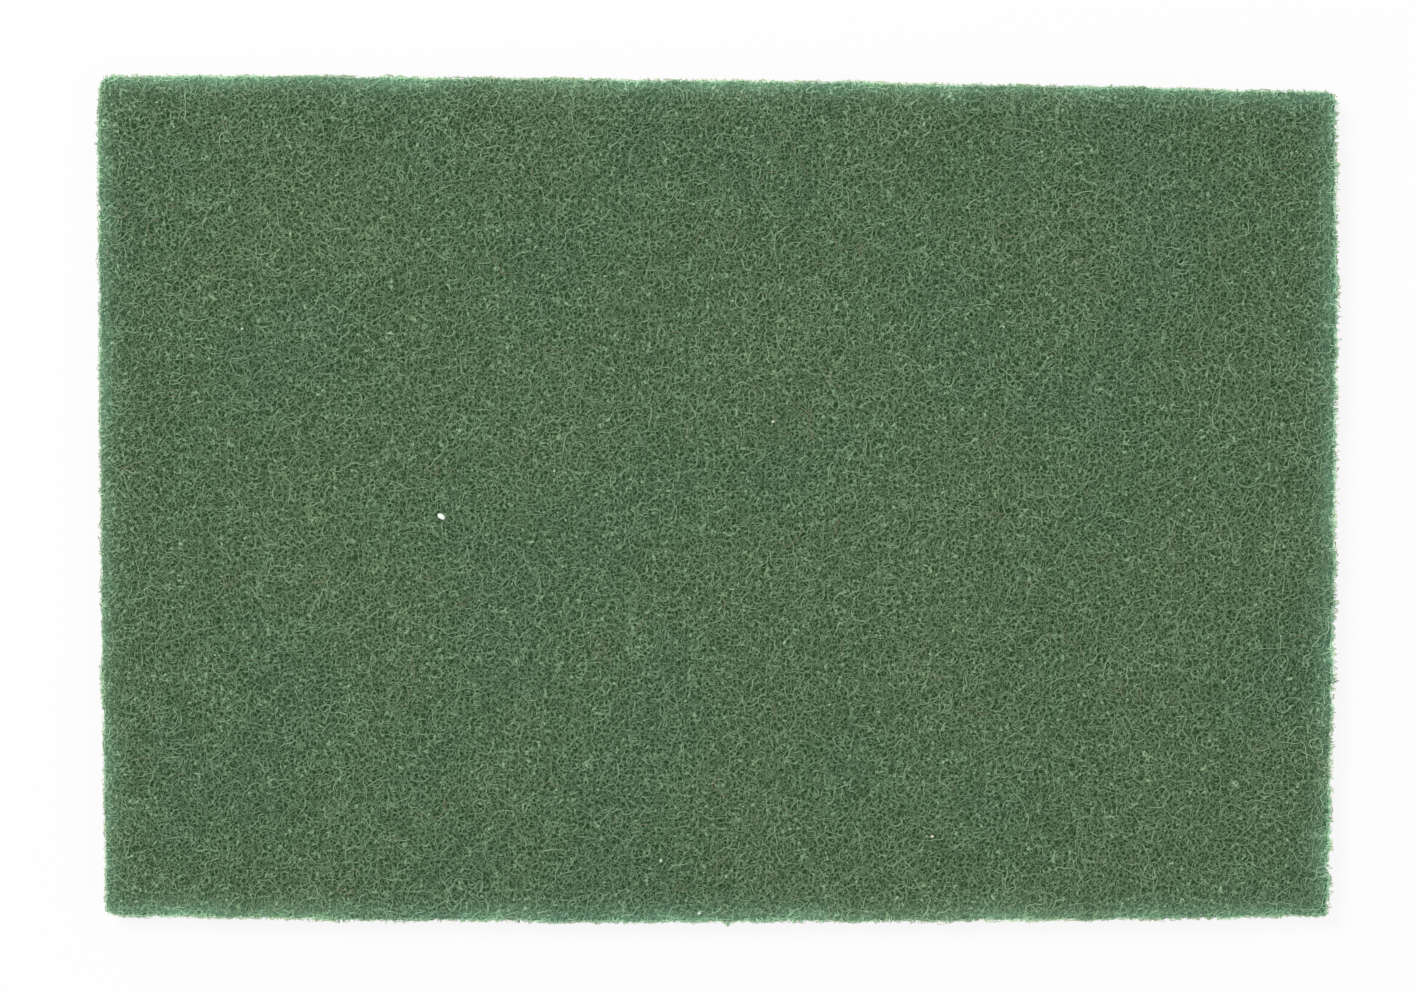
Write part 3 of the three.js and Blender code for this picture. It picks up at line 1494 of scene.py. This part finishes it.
@dataclass(frozen=True)
class DyeDrift:
    """The slow drift of shade over a web, between a bluer and a more olive green, as spraying it leaves."""

    pitch_mm: float = 30.0
    olive: tuple[float, float, float, float] = (1.05, 1.015, 0.99, 1.0)
    teal: tuple[float, float, float, float] = (0.95, 0.985, 1.01, 1.0)

    def over(self, tree: Tree, colour: Socket) -> Socket:
        """Let a web colour drift over the pad.

        Args:
            tree: The node tree.
            colour: The even colour.

        Returns:
            The colour with its drift.
        """
        share = ranged(tree, cloudy(tree, self.pitch_mm, 2.0), (0.35, 0.65), (0.0, 1.0))
        return combine(tree, "MULTIPLY", {}, i0=colour, i1=blend(tree, share, self.teal, self.olive))


@dataclass(frozen=True)
class FibreNet:
    """One layer of the deep web, drawn as a warped net: its cell size, fibre width and paleness, lower for
    deeper layers as painted shade.
    """

    cell_mm: float
    fibre_mm: float
    shaded_paleness: float
    offset_mm: float


@dataclass(frozen=True)
class DeepWeb:
    """The fibres below the surface, too deep and too many to be separate.

    Air-laid and bonded like those above, they are drawn as dimmer and dimmer layers of curls over dark
    pores:
    the dimming with depth and the dark pores are painted shade.
    """

    # The dark colour between the nets: painted shade deep in the web.
    pore_shade: str = "284523"
    deep_fibre: str = "9BBC94"
    roughness: float = 0.8
    refraction: float = 1.53
    sheen_share: float = 0.1
    relief_mm: float = 0.25
    warp_mm: float = 0.35
    warp_pitch_mm: float = 1.2
    nets: tuple[FibreNet, ...] = (
        FibreNet(1.28, 0.125, 1.0, 0.0),
        FibreNet(1.08, 0.125, 0.8, 37.3),
        FibreNet(0.9, 0.12, 0.6, 71.9),
    )

    def material(self) -> bpy.types.Material:
        """Make the material.

        Returns:
            The material.
        """
        name = "air-laid nylon web in depth"
        skin, shader = new_skin(name, self.roughness, self.refraction, self.sheen_share)
        tree = skin.node_tree
        place = add_node(tree, "ShaderNodeUVMap", {"uv_map": WEB_MAP}).outputs["UV"]
        nets = [self._net(tree, place, net) for net in self.nets]
        relief = nets[0]
        for net in nets[1:]:
            higher = add_node(tree, "ShaderNodeMath", {"operation": "MAXIMUM"}, i0=relief, i1=net)
            relief = higher.outputs[0]
        colour = shade_ramp(tree, relief, [(0.0, self.pore_shade), (1.0, self.deep_fibre)])
        colour = DyeDrift().over(tree, LightThrough().over(tree, colour))
        tree.links.new(colour, shader.inputs["Base Color"])
        emboss(tree, shader, relief, 1.0, self.relief_mm)
        return skin

    def _net(self, tree: Tree, place: Socket, net: FibreNet) -> Socket:
        """Draw one layer, in a plane that is bent so that its fibres curl.

        Args:
            tree: The node tree.
            place: Where on the pad, in millimetres, laid out flat.
            net: What the layer is like.

        Returns:
            The net's paleness along its fibres, dimmed for depth as painted shade, and 0 in its pores.
        """
        moved = combine(tree, "ADD", {1: (net.offset_mm, net.offset_mm, 0.0)}, i0=place)
        settings = {"noise_dimensions": "2D", "Scale": 1 / self.warp_pitch_mm, "Detail": 1.0}
        cloud = add_node(tree, "ShaderNodeTexNoise", settings, Vector=moved).outputs["Color"]
        push = combine(tree, "SUBTRACT", {1: (0.5, 0.5, 0.5)}, i0=cloud)
        push = combine(tree, "SCALE", {3: 4 * self.warp_mm}, i0=push)
        bent = combine(tree, "ADD", {}, i0=moved, i1=push)
        settings = {"voronoi_dimensions": "2D", "feature": "DISTANCE_TO_EDGE", "Scale": 1 / net.cell_mm}
        edge = add_node(tree, "ShaderNodeTexVoronoi", settings, Vector=bent).outputs["Distance"]
        return ranged(tree, edge, (0.0, net.fibre_mm / net.cell_mm), (net.shaded_paleness, 0.0), "SMOOTHSTEP")


@dataclass
class Studio:
    """A plain pale floor, soft light, and the camera where the photograph was taken from."""

    shape: PadShape
    frame_width_mm: float = 262.9
    camera_height_mm: float = 1000.0
    look_at_mm: tuple[float, float] = (-1.58, 0.56)
    sensor_mm: float = 36.0
    paper: str = "F2F2F0"
    white: str = "FFFFFF"
    floor_glow: float = 0.87
    whitening_m: tuple[float, float] = (0.15, 0.6)
    room_light: float = 0.5

    def build(self) -> None:
        """Make the camera, the floor, the world and the lamps."""
        self._camera()
        self._floor()
        self._world()
        self._lamps()

    def _camera(self) -> None:
        """Look straight down on the pad."""
        lens = bpy.data.cameras.new("camera")
        lens.sensor_width = self.sensor_mm
        lens.lens = self.sensor_mm * self.camera_height_mm / self.frame_width_mm
        camera = bpy.data.objects.new("camera", lens)
        height = self.camera_height_mm + self.shape.high[2] - 0.5
        camera.location = Vector((*self.look_at_mm, height)) * MILLIMETRE
        bpy.context.scene.collection.objects.link(camera)
        bpy.context.scene.camera = camera

    def _floor(self) -> None:
        """Lay a pale floor that keeps the pad's shadow."""
        half = 6.0
        corners = [(-half, -half, 0), (half, -half, 0), (half, half, 0), (-half, half, 0)]
        mesh = bpy.data.meshes.new("floor")
        mesh.from_pydata(corners, [], [(0, 1, 2, 3)])
        floor = bpy.data.objects.new("floor", mesh)
        bpy.context.scene.collection.objects.link(floor)
        paper = bpy.data.materials.new("matt white paper")
        paper.use_nodes = True
        tree = paper.node_tree
        tree.nodes.clear()
        lit = add_node(tree, "ShaderNodeBsdfDiffuse", {"Color": linear(self.paper)}).outputs[0]
        settings = {"Color": linear(self.white), "Strength": 1.0}
        glow = add_node(tree, "ShaderNodeEmission", settings).outputs[0]
        place = add_node(tree, "ShaderNodeTexCoord", {}).outputs["Object"]
        away = add_node(tree, "ShaderNodeVectorMath", {"operation": "LENGTH"}, i0=place).outputs["Value"]
        share = ranged(tree, away, self.whitening_m, (self.floor_glow, 1.0))
        seen = seen_directly(tree)
        share = add_node(tree, "ShaderNodeMath", {"operation": "MULTIPLY"}, i0=share, i1=seen).outputs[0]
        mixed = add_node(tree, "ShaderNodeMixShader", {}, i0=share, i1=lit, i2=glow).outputs[0]
        add_node(tree, "ShaderNodeOutputMaterial", {}, Surface=mixed)
        mesh.materials.append(paper)

    def _world(self) -> None:
        """Surround the pad with soft light, white where the camera sees it."""
        world = bpy.data.worlds.new("soft room")
        world.use_nodes = True
        bpy.context.scene.world = world
        tree = world.node_tree
        tree.nodes.clear()
        white = linear(self.white)
        soft, bright = (
            add_node(tree, "ShaderNodeBackground", {"Color": white, "Strength": strength}).outputs[0]
            for strength in (self.room_light, 1.0)
        )
        seen = seen_directly(tree)
        mixed = add_node(tree, "ShaderNodeMixShader", {}, i0=seen, i1=soft, i2=bright).outputs[0]
        add_node(tree, "ShaderNodeOutputWorld", {}, Surface=mixed)

    def _lamps(self) -> None:
        """Hang two soft boxes over the pad, the larger one at the back left."""
        for name, place, size, power in (
            ("soft_box", (-0.7, 0.6, 1.3), 0.7, 14.8),
            ("fill_box", (0.9, -0.5, 1.1), 0.9, 3.3),
        ):
            lamp = bpy.data.lights.new(name, "AREA")
            lamp.size = size
            lamp.energy = power
            body = bpy.data.objects.new(name, lamp)
            body.location = place
            body.rotation_euler = (-Vector(place)).to_track_quat("-Z", "Y").to_euler()
            bpy.context.scene.collection.objects.link(body)


def seen_directly(tree: Tree) -> Socket:
    """Tell the rays that carry the background to the eye, straight or by reflection, from the rest.

    Args:
        tree: The node tree.

    Returns:
        1 for camera, glossy and transmission rays, 0 for others.
    """
    path = add_node(tree, "ShaderNodeLightPath", {}).outputs
    seen = path["Is Camera Ray"]
    for name in ("Is Glossy Ray", "Is Transmission Ray"):
        seen = add_node(tree, "ShaderNodeMath", {"operation": "MAXIMUM"}, i0=seen, i1=path[name]).outputs[0]
    return seen


def settle(piece: bpy.types.Object, material: bpy.types.Material) -> None:
    """Give a piece its material and the body that it moves with.

    Args:
        piece: The object.
        material: Its finish.
    """
    piece.data.materials.append(material)
    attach(piece, BODY)
    LOG.info("%s: %d faces", piece.name, len(piece.data.polygons))


def upper_laps() -> list[FibreLap]:
    """List the laps of the upper face, from the deepest to the outermost."""
    curly = Crimp(1.0, 1.4, 2.0, 0.5, 0.5, 9.0, 4.0)
    loose = Crimp(1.7, 2.0, 2.6, 0.45, 0.6, 14.0, 5.0)
    return [
        # The deeper laps have darker tone ranges: painted shade for depth.
        FibreLap(curly, 3000, 0.3, 0.65, 0.085, 0.75, 0.5, 21),
        FibreLap(curly, 3000, 0.1, 0.4, 0.08, 0.85, 0.6, 22),
        FibreLap(loose, 2100, 0.0, 0.2, 0.07, 0.86, 0.6, 23),
    ]


def lower_laps() -> list[FibreLap]:
    """List the laps of the lower face.

    Its fibres are half as thick again as those of the upper face, so that fewer of them cover it.
    """
    mixed = Crimp(2.6, 3.0, 3.8, 0.5, 0.85, 20.0, 8.0)
    return [FibreLap(mixed, 1500, 0.0, 0.45, 0.125, 0.8, 0.1, 31)]


def main() -> None:
    """Build the pad and its studio."""
    logging.basicConfig(level=logging.INFO, format="%(name)s: %(message)s")
    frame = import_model()
    shape = PadShape(frame["nodes"][PAD_NODE])
    Studio(shape).build()
    core = WebCore(shape).build()
    settle(core, DeepWeb().material())
    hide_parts(PAD_NODE)
    nylon = ResinBondedNylon().material()
    faces = [WebFace(shape, 1, "upper", upper_laps()), WebFace(shape, -1, "lower", lower_laps())]
    for face in faces:
        for piece in face.build():
            settle(piece, nylon)
    for piece in CutEdges(shape).build():
        settle(piece, nylon)
    settle(ResinBeads(shape).build(), CuredResin().material())
    bpy.context.scene.view_settings.view_transform = "Standard"


if __name__ == "__main__":
    main()
